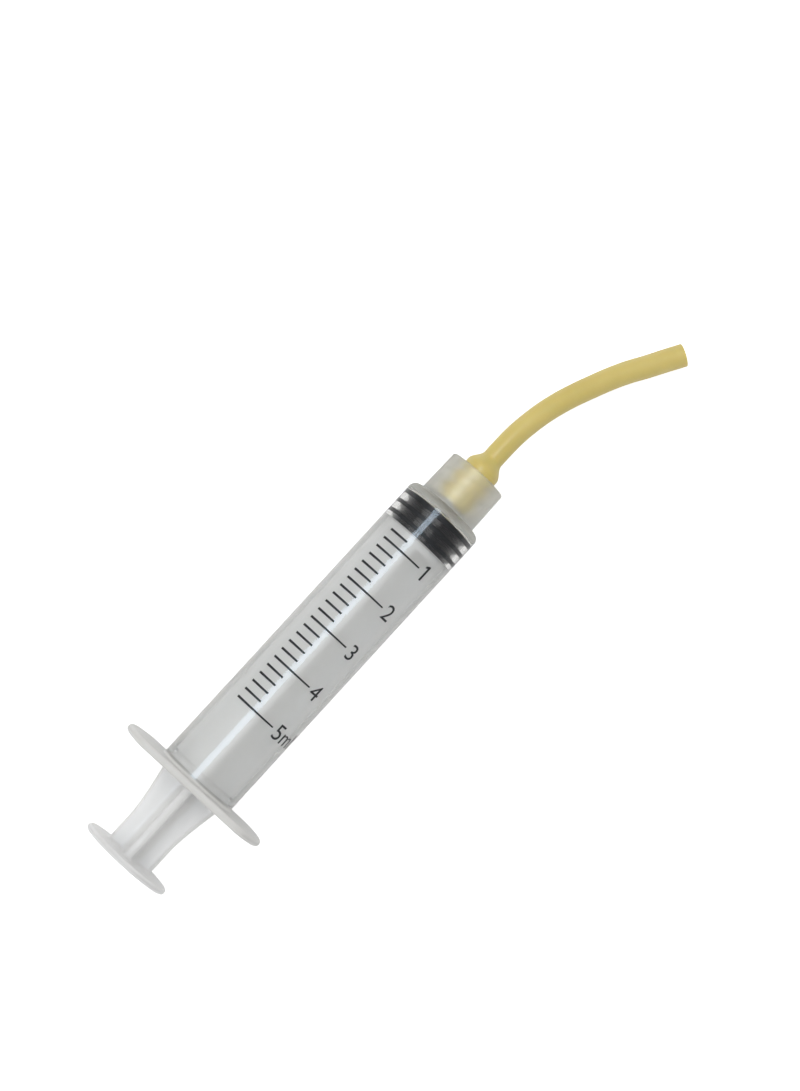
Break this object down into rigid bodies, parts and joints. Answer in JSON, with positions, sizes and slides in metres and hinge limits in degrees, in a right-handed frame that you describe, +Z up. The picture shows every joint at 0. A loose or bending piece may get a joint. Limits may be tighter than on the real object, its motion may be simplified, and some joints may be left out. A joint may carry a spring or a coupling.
{
  "type": "oral syringe",
  "caption": "Small graduated syringe with a sliding plunger, black ribbed piston, finger flange, lock-collar tip and a short soft feeding tube pushed over it.",
  "frame": {"origin": "on the table, under the middle of the box of the three rigid pieces as the syringe lies at rest", "axes": "+X along the syringe towards its tip, +Z up; the syringe's own axis points 1.93 degrees below +X, because it lies on its finger flange and the front of its barrel"},
  "size_m": [0.122, 0.0282, 0.018],
  "materials": {
    "barrel_plastic": "natural translucent polypropylene, glossy, with a printed black scale",
    "piston_rubber": "black rubber, lightly siliconed",
    "rod_plastic": "whitish translucent polypropylene, satin",
    "tube_latex": "amber latex, soft satin"
  },
  "bodies": {
    "barrel": {"barrel": "barrel_plastic"},
    "piston": {"piston": "piston_rubber"},
    "plunger_rod": {"plunger_rod": "rod_plastic"},
    "feeding_tube": {"feeding_tube": "tube_latex"}
  },
  "joints": [
    {"name": "plunger_slide", "type": "slide", "parent": "barrel", "child": "piston", "axis": [-0.9994, 0, 0.0336], "range_m": [0, 0.05]},
    {"name": "rod_spin", "type": "hinge", "parent": "piston", "child": "plunger_rod", "pos_m": [0.03318, 0, 0.007], "axis": [0.9994, 0, -0.0336], "continuous": true},
    {"name": "tube_pull_off", "type": "slide", "parent": "barrel", "child": "feeding_tube", "axis": [0.9994, 0, -0.0336], "range_m": [0, 0.009]}
  ]
}
